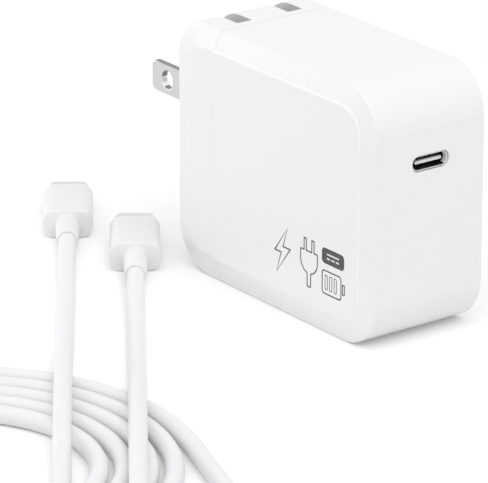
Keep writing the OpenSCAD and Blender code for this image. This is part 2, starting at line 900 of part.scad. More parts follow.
// The moulded insert in the shell, with the slot that takes a tongue
module plug_insert(place) {
    start = relief_l + grip_l + plug_skin;
    mouth = start + plug_l - 2 * plug_skin;
    color("dimgray") plug_frame(place) difference() {
        plate(start, mouth) stadium(plug_w - 2 * plug_skin, plug_h - 2 * plug_skin);
        plate(start + 1, mouth + over) stadium(tongue_w + 0.3, tongue_t + 0.2);
    }
}

module plug_grip(place) {
    color("white") plug_frame(place)
        plate(relief_l, relief_l + grip_l) rounded_bar(grip_w, grip_t, grip_r);
}

module strain_relief(place) {
    color("white") plug_frame(place) rotate([-90, 0, 0])
        cylinder(d1 = relief_end_d, d2 = relief_d, h = relief_l);
}

// Direction of the path at point i, or the one that an end is given
function heading(path, i, first, last) =
    i == 0 ? first
    : i == len(path) - 1 ? last
    : path[i + 1] - path[i - 1];

// Corners of one ring of a tube, square to the direction it runs in
function ring(at, along, r, sides) =
    let (
        t = along / norm(along),
        s = cross(t, [0, 0, 1]) / norm(cross(t, [0, 0, 1])),
        u = cross(s, t)
    )
    [for (k = [0:sides - 1]) let (a = 90 + 360 * k / sides) at + r * (cos(a) * s + sin(a) * u)];

// A tube swept along a path as one closed skin of triangles
module tube(path, r, sides, first, last) {
    end = (len(path) - 1) * sides;
    points = [
        for (i = [0:len(path) - 1])
            each ring(path[i], heading(path, i, first, last), r, sides)
    ];
    skin = [
        for (i = [0:len(path) - 2], k = [0:sides - 1])
            let (a = i * sides + k, b = i * sides + (k + 1) % sides)
            each [[a, b, b + sides], [a, b + sides, a + sides]]
    ];
    caps = [
        for (k = [1:sides - 2])
            each [[0, k + 1, k], [end, end + k, end + k + 1]]
    ];
    polyhedron(points, concat(skin, caps), convexity = 10);
}

// The coil: turns counted clockwise from its first point
function coil_r(t) = coil_start_r + coil_pitch * t;
function coil_angle(t) = coil_from - 360 * t;
function coil_point(t) =
    [coil_r(t) * cos(coil_angle(t)), coil_r(t) * sin(coil_angle(t)), low];
function coil_heading(t) =
    let (
        a = coil_angle(t),
        v = 2 * PI * coil_r(t) * [sin(a), -cos(a), 0] + coil_pitch * [cos(a), sin(a), 0]
    )
    v / norm(v);

coil_end = coil_steps / loop_rings;
coil_in = coil_point(0) - lead_d * coil_heading(0);
coil_out = coil_point(coil_end) + lead_d * coil_heading(coil_end);
coil_path = [
    coil_in,
    for (i = [0:coil_steps]) coil_point(i / loop_rings),
    coil_out,
];

coil_gap = min([
    for (i = [0:coil_steps], j = [i + loop_rings / 2:1:coil_steps])
        norm(coil_path[i + 1] - coil_path[j + 1])
]) - lead_d;
echo(least_gap_between_turns = coil_gap);

function length_of(path) =
    len(path) < 2 ? 0
    : [for (i = [1:len(path) - 1]) norm(path[i] - path[i - 1])]
        * [for (i = [1:len(path) - 1]) 1];
run_a = concat(ROUTE_A, [coil_in]);
run_b = concat([coil_out], ROUTE_B);
echo(lead_length = length_of(run_a) + length_of(coil_path) + length_of(run_b));

module cable_run_a() {
    color("white") on_surface()
        tube(run_a, lead_d / 2, run_sides, [0, -1, 0], coil_heading(0));
}

module cable_run_b() {
    color("white") on_surface()
        tube(run_b, lead_d / 2, run_sides, coil_heading(coil_end), [0, 1, 0]);
}

module cable_coil() {
    color("white") on_surface()
        tube(coil_path, lead_d / 2, coil_sides, coil_heading(0), coil_heading(coil_end));
}

module plug_shell_a() { plug_shell(RELIEF_A); }
module plug_shell_b() { plug_shell(RELIEF_B); }
module plug_insert_a() { plug_insert(RELIEF_A); }
module plug_insert_b() { plug_insert(RELIEF_B); }
module plug_grip_a() { plug_grip(RELIEF_A); }
module plug_grip_b() { plug_grip(RELIEF_B); }
module strain_relief_a() { strain_relief(RELIEF_A); }
module strain_relief_b() { strain_relief(RELIEF_B); }

main_shell();
end_cap();
prong_hub();
line_blade();
neutral_blade();
hub_retainer();
detent_spring();
line_contact();
neutral_contact();
usb_port_shell();
usb_port_tongue();
output_board();
main_board();
transformer_core();
transformer_bobbin();
transformer_winding();
bulk_capacitors();
choke_core();
choke_windings();
suppression_capacitor();
safety_capacitor();
fuse();
bridge_rectifier();
power_switch();
output_capacitors();
heat_spreader();
insulating_film();
plug_shell_a();
plug_insert_a();
plug_grip_a();
strain_relief_a();
plug_shell_b();
plug_insert_b();
plug_grip_b();
strain_relief_b();
cable_run_a();
cable_run_b();
cable_coil();
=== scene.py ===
"""The looks of a wall charger with folding mains prongs and of its coiled USB-C lead.

Everything is in metres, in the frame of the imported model: X runs from the prong end to the
port end, Y across the thickness and Z up. Named sizes are in millimetres until MM turns them
into metres, apart from those of the floor and the lights, which are named in metres.
"""

import math

import bmesh
import bpy
from mathutils import Matrix, Vector


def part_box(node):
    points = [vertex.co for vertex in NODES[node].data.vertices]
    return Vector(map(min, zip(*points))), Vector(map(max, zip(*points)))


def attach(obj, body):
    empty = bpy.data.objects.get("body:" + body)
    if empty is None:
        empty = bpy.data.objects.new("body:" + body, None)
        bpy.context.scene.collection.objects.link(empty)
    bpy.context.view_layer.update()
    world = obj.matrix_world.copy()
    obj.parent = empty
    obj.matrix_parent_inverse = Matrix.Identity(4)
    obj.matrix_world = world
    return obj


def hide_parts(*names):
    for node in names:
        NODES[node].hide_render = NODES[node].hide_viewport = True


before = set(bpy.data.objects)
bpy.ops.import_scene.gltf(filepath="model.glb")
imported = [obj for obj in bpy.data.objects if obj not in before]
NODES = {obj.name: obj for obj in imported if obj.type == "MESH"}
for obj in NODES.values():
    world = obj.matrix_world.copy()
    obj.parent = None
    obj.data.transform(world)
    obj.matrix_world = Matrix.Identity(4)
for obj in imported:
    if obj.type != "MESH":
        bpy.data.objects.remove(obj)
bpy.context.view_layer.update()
MM = 0.001
CHARGER = "charger"
PRONGS = "prongs"

# ---------- Objects and meshes ----------

SMOOTH_ANGLE = math.radians(32)


def placed(name, data):
    """A new object of the scene that holds this data."""
    made = bpy.data.objects.new(name, data)
    bpy.context.scene.collection.objects.link(made)
    return made


def piece(name, mesh, body, *stands_for):
    """A new object of the part, riding on a body and standing for CAD nodes."""
    made = placed(name, mesh)
    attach(made, body)
    if stands_for:
        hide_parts(*stands_for)
    return made


def meshed(form, name):
    """A mesh out of a bmesh, which is freed."""
    mesh = bpy.data.meshes.new(name)
    form.to_mesh(mesh)
    form.free()
    return mesh


def applied(holder):
    """The mesh of an object with its modifiers worked in. The object itself is removed."""
    bpy.context.view_layer.update()
    graph = bpy.context.evaluated_depsgraph_get()
    mesh = bpy.data.meshes.new_from_object(holder.evaluated_get(graph))
    bpy.data.objects.remove(holder)
    return mesh


def finished(mesh, material):
    """Gives a mesh its material and smooth shading that stops at its edges."""
    mesh.materials.clear()
    mesh.materials.append(material)
    if not mesh.has_custom_normals:
        mesh.shade_smooth()
        mesh.set_sharp_from_angle(angle=SMOOTH_ANGLE)
    return mesh


# ---------- Camera ----------

IMAGE_W = 488
IMAGE_H = 483
FOCAL_PIXELS = 4468.0
SENSOR = 36.0
VIEW_FROM = Vector((665.75, -515.98, 324.07)) * MM
BODY_MIDDLE = Vector((0, 0, 26.85)) * MM
BODY_PIXEL = (328.145, 167.797)
VIEW_ROLL = math.radians(0.464)
CLIP_NEAR, CLIP_FAR = 50, 20000


def make_camera():
    """A long lens without shift, turned so that the body's middle falls on its pixel."""
    back = (VIEW_FROM - BODY_MIDDLE).normalized()
    right = Vector((0, 0, 1)).cross(back).normalized()
    up = back.cross(right)
    c, s = math.cos(VIEW_ROLL), math.sin(VIEW_ROLL)
    right, up = c * right + s * up, c * up - s * right
    aside = BODY_PIXEL[0] - IMAGE_W / 2
    above = IMAGE_H / 2 - BODY_PIXEL[1]
    turn = back.rotation_difference(FOCAL_PIXELS * back + aside * right + above * up)
    turned = Matrix([turn @ axis for axis in (right, up, back)]).transposed().to_4x4()
    data = bpy.data.cameras.new("camera")
    data.sensor_width = SENSOR
    data.lens = SENSOR * FOCAL_PIXELS / IMAGE_W
    data.clip_start = CLIP_NEAR * MM
    data.clip_end = CLIP_FAR * MM
    camera = placed("camera", data)
    camera.matrix_world = Matrix.Translation(VIEW_FROM) @ turned
    bpy.context.scene.camera = camera


make_camera()

# ---------- Materials ----------


class Value:
    """A socket of a shader tree. Arithmetic on it adds Math nodes."""

    def __init__(self, finish, socket):
        self.finish = finish
        self.socket = socket

    def math(self, operation, first, second):
        return self.finish.node("Math", {"operation": operation}, {0: first, 1: second})

    def __add__(self, other):
        return self.math("ADD", self, other)

    def __sub__(self, other):
        return self.math("SUBTRACT", self, other)

    def __rsub__(self, other):
        return self.math("SUBTRACT", other, self)

    def __mul__(self, other):
        return self.math("MULTIPLY", self, other)

    def __gt__(self, other):
        return self.math("GREATER_THAN", self, other)

    def __lt__(self, other):
        return self.math("LESS_THAN", self, other)

    __radd__ = __add__
    __rmul__ = __mul__


# Sockets of a Mix node that mixes colours, by number, since other sockets share their names.
COLOR_A, COLOR_B, COLOR_RESULT = 6, 7, 2


class Finish:
    """A material in the making, with methods that add nodes to it and feed its shader."""

    def __init__(self, name, color, roughness, **constants):
        self.material = bpy.data.materials.new(name)
        self.material.use_nodes = True
        self.tree = self.material.node_tree
        self.shader = self.tree.nodes["Principled BSDF"]
        self.color = (*color, 1.0)
        self.set("Base Color", self.color)
        self.set("Roughness", roughness)
        for socket, value in constants.items():
            self.set(socket.replace("_", " "), value)

    def feed(self, socket, value):
        """Links a Value to a socket, or sets the socket to a constant."""
        if isinstance(value, Value):
            self.tree.links.new(value.socket, socket)
        else:
            socket.default_value = value

    def set(self, socket, value):
        """Feeds a socket of the shader."""
        self.feed(self.shader.inputs[socket], value)

    def node(self, kind, settings, inputs, output=0):
        """Adds a node, sets it up, feeds its inputs and returns one of its outputs."""
        made = self.tree.nodes.new("ShaderNode" + kind)
        for key, value in settings.items():
            setattr(made, key, value)
        for key, value in inputs.items():
            self.feed(made.inputs[key], value)
        return Value(self, made.outputs[output])

    def place(self):
        """The shaded point, in the frame of the part."""
        return self.node("TexCoord", {}, {}, "Object")

    def axis(self, name):
        """The X, Y or Z of the shaded point, in metres."""
        return self.node("SeparateXYZ", {}, {0: self.place()}, "XYZ".index(name))

    def noise(self, size_mm, detail=2.0, stretch=(1, 1, 1)):
        """Noise whose grains are about size_mm across, drawn out along the axes by stretch."""
        scale = [1 / s for s in stretch]
        at = self.node("Mapping", {}, {"Vector": self.place(), "Scale": scale})
        values = {"Vector": at, "Scale": 1 / (size_mm * MM), "Detail": detail}
        return self.node("TexNoise", {}, values)

    def mix(self, share, low, high):
        """A colour between low and high."""
        values = {"Factor": share, COLOR_A: low, COLOR_B: high}
        return self.node("Mix", {"data_type": "RGBA"}, values, COLOR_RESULT)

    def shade(self, share, depth):
        """The base colour, darkened by depth where share is 1."""
        dark = [c * (1 - depth) for c in self.color[:3]] + [1.0]
        self.set("Base Color", self.mix(share, self.color, dark))

    def vary(self, roughness, *changes):
        """Roughness that changes with each noise by the range given with it."""
        for reach, noise in changes:
            roughness = roughness + reach * (noise - 0.5)
        self.set("Roughness", roughness)

    def bump(self, height, depth_mm):
        """Relief that is depth_mm deep where height runs from 0 to 1."""
        values = {"Height": height, "Distance": depth_mm * MM}
        self.set("Normal", self.node("Bump", {}, values))


def moulded_white(name, color, roughness, grain_mm, grain_depth):
    """Satin plastic from a fine spark-eroded mould, a little glossier where it is handled."""
    finish = Finish(name, color, roughness, Specular_IOR_Level=0.45)
    cloud = finish.noise(9.0, detail=3.0)
    grain = finish.noise(grain_mm, detail=3.0)
    finish.shade(cloud, depth=0.006)
    finish.vary(roughness, (0.03, cloud), (0.04, grain))
    finish.bump(grain, grain_depth)
    return finish.material


def brushed_metal(name, color, roughness, stretch, streak_mm):
    """Plated sheet with fine streaks along the stretched axis and faint handling marks."""
    finish = Finish(name, color, roughness, Metallic=1.0)
    streaks = finish.noise(streak_mm, detail=3.0, stretch=stretch)
    marks = finish.noise(2.4, detail=4.0)
    finish.shade(streaks * 0.7 + marks * 0.3, depth=0.14)
    finish.vary(roughness, (0.16, streaks), (0.1, marks))
    finish.bump(streaks, depth_mm=0.004)
    return finish.material


def port_end(roughness, bright_mm):
    """The port's inner end: pale for bright_mm from the mouth, a painted reflection of bright
    steel, and near black further in, painted shade of the deep port.
    """
    finish = Finish("port_end_painted_reflection_and_shade", (0.95, 0.95, 0.96), roughness)
    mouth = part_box("usb_port_shell")[1][0]
    bright = finish.axis("X") > mouth - bright_mm * MM
    # Painted light: pale near the mouth as a painted reflection, near black deeper in as
    # painted shade.
    finish.set("Base Color", finish.mix(bright, (0.02, 0.02, 0.02, 1), finish.color))
    finish.vary(roughness, (0.1, finish.noise(0.3)))
    return finish.material


def plain_moulding(name, color, roughness, grain_mm=0.2):
    """Inner plastic and ceramic: a dull moulded face with a slight mottle."""
    finish = Finish(name, color, roughness)
    mottle = finish.noise(1.6, detail=3.0)
    finish.shade(mottle, depth=0.18)
    finish.vary(roughness, (0.15, mottle))
    finish.bump(finish.noise(grain_mm), depth_mm=0.01)
    return finish.material


def circuit_board():
    """Solder mask over copper tracks, which show as paler bands with tinned pads."""
    cell_mm, pad_reach, track_from = 2.2, 0.16, 0.42
    finish = Finish("solder_mask", (0.02, 0.16, 0.07), 0.3, Coat_Weight=0.3)
    cells = {"Vector": finish.place(), "Scale": 1 / (cell_mm * MM)}
    distance = finish.node("TexVoronoi", {"distance": "CHEBYCHEV"}, cells)
    pads = distance < pad_reach
    tracks = distance > track_from
    green = finish.mix(tracks, finish.color, (0.05, 0.30, 0.13, 1))
    finish.set("Base Color", finish.mix(pads, green, (0.62, 0.62, 0.6, 1)))
    finish.set("Metallic", pads * 0.9)
    finish.bump(tracks, depth_mm=0.03)
    return finish.material


def wound_copper():
    """Enamelled wire, its turns seen as fine ridges across Y, with painted shade in the
    grooves between them.

    A Wave node draws its bands 2 pi / (band_rate x Scale) apart.
    """
    turn_mm, band_rate = 0.2, 20
    finish = Finish("enamelled_wire", (0.55, 0.20, 0.06), 0.28, Metallic=1.0)
    bands = {"Vector": finish.place(), "Scale": 2 * math.pi / (band_rate * turn_mm * MM)}
    turns = finish.node("TexWave", {"bands_direction": "Y"}, bands, "Fac")
    # Painted shade: darker in the grooves between the turns.
    finish.shade(1 - turns, depth=0.5)
    finish.bump(turns, depth_mm=0.1)
    return finish.material


HOUSING = moulded_white("housing_satin_white", (0.905, 0.905, 0.912), 0.22, 0.16, 0.0015)
# Painted highlight: a paler white on the narrow rounding round each raised panel, a bright
# line along the edge.
PAINTED_EDGE_HIGHLIGHT = moulded_white("panel_edge_painted_highlight", (0.96, 0.96, 0.965), 0.22, 0.16, 0.0015)
# Painted shade: the walls of the blade notches are a darker grey, for the shade in these
# recesses.
NOTCH_PAINTED_SHADE = moulded_white("notch_painted_shade", (0.65, 0.65, 0.655), 0.45, 0.16, 0.0015)
LEAD = moulded_white("lead_soft_white", (0.88, 0.885, 0.895), 0.42, 0.25, 0.002)
NICKEL = brushed_metal("nickel_plate", (0.655, 0.655, 0.665), 0.22, (24, 1, 1), 0.09)
# Cut faces of the blades: a dark colour that is partly the bare metal of a cut edge and partly
# a painted dark reflection.
CUT_EDGE_AND_DARK_REFLECTION = brushed_metal("blade_cut_edge_and_painted_reflection", (0.23, 0.23, 0.24), 0.3, (1, 24, 1), 0.09)
# Painted highlight: the side of each blade's hole that looks along BRIGHT_SIDE is near white.
HOLE_PAINTED_HIGHLIGHT = brushed_metal("hole_wall_painted_highlight", (0.97, 0.97, 0.975), 0.4, (1, 24, 1), 0.09)
STEEL = brushed_metal("connector_steel", (0.66, 0.66, 0.68), 0.3, (1, 1, 1), 0.12)
PLUG_STEEL = brushed_metal("plug_steel", (0.79, 0.79, 0.80), 0.3, (1, 1, 1), 0.12)
PORT_END_PAINTED_LIGHT = port_end(roughness=0.4, bright_mm=1.2)
GOLD = brushed_metal("gold_plate", (0.85, 0.62, 0.24), 0.25, (8, 1, 1), 0.06)
SPRING = brushed_metal("spring_steel", (0.5, 0.5, 0.5), 0.32, (1, 1, 16), 0.09)
ALUMINIUM = brushed_metal("rolled_aluminium", (0.75, 0.75, 0.76), 0.35, (18, 1, 1), 0.12)
BLACK = plain_moulding("black_insulator", (0.018, 0.018, 0.02), 0.42)
INNER = plain_moulding("inner_moulding", (0.72, 0.72, 0.72), 0.5)
FERRITE = plain_moulding("ground_ferrite", (0.045, 0.045, 0.05), 0.6, 0.4)
SLEEVE = plain_moulding("capacitor_sleeve", (0.012, 0.015, 0.035), 0.22)
YELLOW = plain_moulding("film_capacitor_case", (0.72, 0.48, 0.04), 0.34)
BLUE = plain_moulding("dipped_ceramic", (0.03, 0.16, 0.42), 0.26)
GLAZE = plain_moulding("fuse_glaze", (0.78, 0.76, 0.70), 0.25)
AMBER = plain_moulding("amber_film", (0.65, 0.42, 0.12), 0.3)
INK = plain_moulding("print_grey", (0.07, 0.07, 0.075), 0.5)
PALE_INK = plain_moulding("print_pale", (0.86, 0.86, 0.87), 0.5)
# Painted highlight: a pale colour for the lit front edge of the port tongue.
TIP_PAINTED_HIGHLIGHT = plain_moulding("tongue_tip_painted_highlight", (0.86, 0.86, 0.87), 0.3)
MASK = circuit_board()
WIRE = wound_copper()

CARRIED = {
    "hub_retainer": INNER, "detent_spring": SPRING,
    "line_contact": GOLD, "neutral_contact": GOLD,
    "output_board": MASK, "main_board": MASK,
    "transformer_core": FERRITE, "transformer_bobbin": BLACK, "transformer_winding": WIRE,
    "bulk_capacitors": SLEEVE, "choke_core": FERRITE, "choke_windings": WIRE,
    "suppression_capacitor": YELLOW, "safety_capacitor": BLUE, "fuse": GLAZE,
    "bridge_rectifier": BLACK, "power_switch": BLACK, "output_capacitors": ALUMINIUM,
    "heat_spreader": ALUMINIUM, "insulating_film": AMBER,
}

# ---------- Shapes ----------

MERGED_WITHIN = 0.001
FLAT_ANGLE = math.radians(0.6)
EDGE_ANGLE = math.radians(30)
HARD_ANGLE = math.radians(89)
SEAM_SHARE = 0.12
SEAM_X, SEAM_CLOSED = -19.54, 0.04
SEAM_REACH_X = (-20.1, -17.0)
PANEL_STEP_Y = 14
NEAR = 0.01
ROUND_SIDES = 40


def close_seam(form):
    """Moves the shell's edge across the panels nearer to the end cap, for a fine joint."""
    for vert in form.verts:
        at = vert.co / MM
        if abs(at.x - SEAM_X) < NEAR and abs(at.y) > PANEL_STEP_Y:
            vert.co.x -= SEAM_CLOSED * MM


def at_seam(edge):
    """Whether both ends of an edge lie beside the joint of the two mouldings."""
    low, high = SEAM_REACH_X
    return all(low * MM < vert.co.x < high * MM for vert in edge.verts)


def softened(node, width_mm, segments=2, seam=False):
    """A copy of a CAD node's mesh, merged, with its sharp edges rounded.

    With seam, edges beside the joint of the two mouldings stay almost sharp, and the joint
    is closed to a fine line across the panels.
    """
    form = bmesh.new()
    form.from_mesh(NODES[node].data)
    bmesh.ops.remove_doubles(form, verts=form.verts, dist=MERGED_WITHIN * MM)
    bmesh.ops.dissolve_limit(form, angle_limit=FLAT_ANGLE, verts=form.verts, edges=form.edges)
    if seam:
        close_seam(form)
    weight = form.edges.layers.float.new("bevel_weight_edge")
    for edge in form.edges:
        if len(edge.link_faces) == 2 and edge.calc_face_angle() >= EDGE_ANGLE:
            edge[weight] = SEAM_SHARE if seam and at_seam(edge) else 1.0
    mesh = meshed(form, node + "_merged")
    mesh.shade_smooth()
    mesh.set_sharp_from_angle(angle=HARD_ANGLE)
    holder = placed(node + "_holder", mesh)
    bevel = holder.modifiers.new("edges", "BEVEL")
    bevel.width = width_mm * MM
    bevel.segments = segments
    bevel.limit_method = "WEIGHT"
    bevel.use_clamp_overlap = True
    even = holder.modifiers.new("even_normals", "WEIGHTED_NORMAL")
    even.keep_sharp = True
    return applied(holder)


def loft(rings):
    """A mesh through rings of equally many points, closed at either end by one face."""
    form = bmesh.new()
    rows = [[form.verts.new(p) for p in ring] for ring in rings]
    for row, following in zip(rows, rows[1:]):
        for i in range(len(row)):
            j = (i + 1) % len(row)
            form.faces.new((row[i], row[j], following[j], following[i]))
    form.faces.new(list(reversed(rows[0])))
    form.faces.new(rows[-1])
    bmesh.ops.recalc_face_normals(form, faces=form.faces)
    return meshed(form, "loft")


def rounded_ring(width, height, radius, y, steps=8):
    """Corners of a rounded bar's section at y, in the XZ plane."""
    points = []
    for quarter, (sx, sz) in enumerate(((1, 1), (-1, 1), (-1, -1), (1, -1))):
        for k in range(steps + 1):
            a = math.radians(90 * (quarter + k / steps))
            x = sx * (width / 2 - radius) + radius * math.cos(a)
            z = sz * (height / 2 - radius) + radius * math.sin(a)
            points.append(Vector((x, y, z)) * MM)
    return points


def round_ring(radius, y):
    """Corners of a round section at y, in the XZ plane."""
    turn = 2 * math.pi / ROUND_SIDES
    return [
        Vector((radius * math.cos(k * turn), y, radius * math.sin(k * turn))) * MM
        for k in range(ROUND_SIDES)
    ]


# ---------- Lead ----------

LEAD_D = 3.6
LEAD_PLACE = Vector((33, -114.2, 0)) * MM
LEAD_TURN = math.radians(55)
ON_SURFACE = Matrix.Translation(LEAD_PLACE) @ Matrix.Rotation(LEAD_TURN, 4, "Z")
GRIP_T = 6.2
PLUG_Z = GRIP_T / 2
FLOOR_GAP = 0.05
CROSSING_GAP = 0.75
LOW = LEAD_D / 2 + FLOOR_GAP
TOP = LOW + LEAD_D + CROSSING_GAP
RELIEF_A = (22, 116)
RELIEF_B = (36, 96)
COIL_PITCH = 4.6
COIL_START_R = 25
COIL_FROM = math.radians(-60)
COIL_STEPS = 115
LOOP_POINTS = 24

ROUTE_A = [
    (*RELIEF_A, PLUG_Z), (22, 109, 3.0), (22, 102, 2.3), (22, 94, LOW), (22, 86, LOW),
    (22, 79, LOW), (22, 72, LOW), (22, 65, LOW), (22, 59, 2.3), (22, 53, 4.1),
    (22, 47, 5.8), (22, 40, TOP), (22, 32, TOP), (22, 24, TOP), (22, 18, 6.1),
    (22, 12, 4.9), (22, 6, 3.2), (22, 0, 2.1), (22, -7, LOW), (21.3, -12.5, LOW),
    (19, -16.9, LOW),
]
ROUTE_B = [
    (48.6, 1.1, LOW), (50.8, -6.6, LOW), (53, -14.3, LOW), (55.2, -22, LOW),
    (57.4, -29.8, LOW), (59.3, -36.6, LOW), (59.8, -42, LOW), (57.6, -47.2, LOW),
    (53.3, -50.8, LOW), (48, -52, LOW), (42.7, -50.8, 2.1), (38.4, -47.2, 2.9),
    (36.2, -42.1, 4.2), (36, -35, 5.6), (36, -28, TOP), (36, -20, TOP),
    (36, -12, TOP), (36, -4, TOP), (36, 4, TOP), (36, 12, TOP), (36, 20, TOP),
    (36, 27, 6.2), (36, 33, 5.6), (36, 39, 3.9), (36, 45, 2.4), (36, 52, LOW),
    (36, 60, LOW), (36, 68, LOW), (36, 75, LOW), (36, 82, 2.3), (36, 89, 3.0),
    (*RELIEF_B, PLUG_Z),
]


def coil_point(turns):
    """The coil's centreline: it winds clockwise and outwards at a steady pitch."""
    radius = COIL_START_R + COIL_PITCH * turns
    angle = COIL_FROM - 2 * math.pi * turns
    return (radius * math.cos(angle), radius * math.sin(angle), LOW)


def make_lead():
    """The whole lead as one smooth round curve, and the points that it follows."""
    coil = [coil_point(i / LOOP_POINTS) for i in range(COIL_STEPS + 1)]
    route = [ON_SURFACE @ (Vector(p) * MM) for p in ROUTE_A + coil + ROUTE_B]
    curve = bpy.data.curves.new("usb_lead", "CURVE")
    curve.dimensions = "3D"
    curve.bevel_depth = LEAD_D / 2 * MM
    curve.bevel_resolution = 8
    curve.resolution_u = 5
    curve.use_fill_caps = True
    spline = curve.splines.new("BEZIER")
    spline.bezier_points.add(len(route) - 1)
    for point, at in zip(spline.bezier_points, route):
        point.co = at
        point.handle_left_type = "AUTO"
        point.handle_right_type = "AUTO"
    curve.materials.append(LEAD)
    lead = placed("usb_lead", curve)
    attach(lead, CHARGER)
    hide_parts("cable_run_a", "cable_coil", "cable_run_b")
    return lead, route


lead, lead_route = make_lead()

# ---------- Contacts that repeat ----------


def contact_row_tree():
    """Geometry Nodes: a row of flat contacts along X, centred on the origin."""
    tree = bpy.data.node_groups.new("contact_row", "GeometryNodeTree")
    add = tree.interface.new_socket
    for name, kind in (("Count", "Int"), ("Pitch", "Float"), ("Size", "Vector")):
        add(name, in_out="INPUT", socket_type="NodeSocket" + kind)
    add("Material", in_out="INPUT", socket_type="NodeSocketMaterial")
    add("Geometry", in_out="OUTPUT", socket_type="NodeSocketGeometry")
    nodes, link = tree.nodes, tree.links.new

    def worked_out(operation, first, second):
        """The output of a Math node on a link and on a second link or a number."""
        made = nodes.new("ShaderNodeMath")
        made.operation = operation
        link(first, made.inputs[0])
        if isinstance(second, bpy.types.NodeSocket):
            link(second, made.inputs[1])
        else:
            made.inputs[1].default_value = second
        return made.outputs[0]

    given = nodes.new("NodeGroupInput").outputs
    line = nodes.new("GeometryNodeMeshLine")
    bar = nodes.new("GeometryNodeMeshCube")
    copies = nodes.new("GeometryNodeInstanceOnPoints")
    whole = nodes.new("GeometryNodeRealizeInstances")
    centred = nodes.new("GeometryNodeTransform")
    painted = nodes.new("GeometryNodeSetMaterial")
    result = nodes.new("NodeGroupOutput")
    step = nodes.new("ShaderNodeCombineXYZ")
    start = nodes.new("ShaderNodeCombineXYZ")
    gaps = worked_out("SUBTRACT", given["Count"], 1)
    row_length = worked_out("MULTIPLY", gaps, given["Pitch"])
    link(worked_out("MULTIPLY", row_length, -0.5), start.inputs["X"])
    link(given["Pitch"], step.inputs["X"])
    link(given["Count"], line.inputs["Count"])
    link(step.outputs[0], line.inputs["Offset"])
    link(given["Size"], bar.inputs["Size"])
    link(line.outputs[0], copies.inputs["Points"])
    link(bar.outputs["Mesh"], copies.inputs["Instance"])
    link(copies.outputs[0], whole.inputs[0])
    link(whole.outputs[0], centred.inputs["Geometry"])
    link(start.outputs[0], centred.inputs["Translation"])
    link(centred.outputs[0], painted.inputs["Geometry"])
    link(given["Material"], painted.inputs["Material"])
    link(painted.outputs[0], result.inputs[0])
    return tree


CONTACT_ROW = contact_row_tree()
CONTACTS = 12
CONTACT_PITCH = 0.5


def contact_row(size_mm, material):
    """One row of contacts as a plain mesh; size_mm is a contact's width, length and height."""
    holder = placed("row_holder", bpy.data.meshes.new("row_holder"))
    modifier = holder.modifiers.new("row", "NODES")
    modifier.node_group = CONTACT_ROW
    values = {
        "Count": CONTACTS, "Pitch": CONTACT_PITCH * MM,
        "Size": Vector(size_mm) * MM, "Material": material,
    }
    for item in CONTACT_ROW.interface.items_tree:
        if item.in_out == "INPUT":
            modifier[item.identifier] = values[item.name]
    return applied(holder)


def joined(meshes):
    """One mesh out of several, each keeping its own material."""
    form = bmesh.new()
    materials = []
    for mesh in meshes:
        first = len(form.faces)
        form.from_mesh(mesh)
        form.faces.ensure_lookup_table()
        material = mesh.materials[0]
        if material not in materials:
            materials.append(material)
        for face in form.faces[first:]:
            face.material_index = materials.index(material)
    whole = meshed(form, "joined")
    for material in materials:
        whole.materials.append(material)
    return whole


# ---------- Plugs ----------

SHELL_W, SHELL_H, SHELL_L, SHELL_SKIN = 8.25, 2.4, 6.65, 0.3
GRIP_W, GRIP_L, GRIP_R = 10.4, 16.7, 2.4
RELIEF_D, RELIEF_END_D, RELIEF_L = 5.2, 4.6, 9.7
TONGUE_W, TONGUE_T = 6.7, 0.7
MOUTH_R, MOUTH_STEPS = 0.13, 8
GRIP_EDGE = 0.45
RELIEF_EDGE = 0.3
LIP_IN, LIP_OUT, LIP_L = 0.1, 0.05, 0.12
QUARTER = [math.radians(a) for a in (0, 22.5, 45, 67.5, 90)]
SLIVER = 0.001
END_STEPS = 10
INSERT_GAP, INSERT_EDGE = 0.01, 0.1
SLOT_W, SLOT_T = TONGUE_W + 0.3, TONGUE_T + 0.2
SLOT_EDGE, SLOT_EDGE_L, SLOT_FLOOR_T = 0.1, 0.15, 1
PLUG_CONTACT = (0.25, 3.6, 0.08)
PLUG_CONTACT_FROM, PLUG_CONTACT_SUNK = 3, 0.03


def slot_like_ring(width, height, y):
    """A section with full-round ends, which keep a sliver of flat between their corners."""
    return rounded_ring(width, height, height / 2 - SLIVER, y, END_STEPS)


def shell_ring(inset, y):
    """The section of the metal shell, drawn in by inset."""
    return slot_like_ring(SHELL_W - 2 * inset, SHELL_H - 2 * inset, y)


def plug_shell_mesh():
    """Drawn sheet with a rolled mouth, open to the front, closed by its floor at the grip."""
    y0, y1 = RELIEF_L + GRIP_L, RELIEF_L + GRIP_L + SHELL_L
    mouth = y1 - MOUTH_R
    middle = SHELL_SKIN / 2
    rings = [shell_ring(0, y0), shell_ring(0, mouth)]
    for k in range(1, MOUTH_STEPS):
        a = math.pi * k / MOUTH_STEPS
        rings.append(shell_ring(middle - middle * math.cos(a), mouth + MOUTH_R * math.sin(a)))
    rings += [shell_ring(SHELL_SKIN, mouth), shell_ring(SHELL_SKIN, y0 + SHELL_SKIN)]
    return finished(loft(rings), PLUG_STEEL)


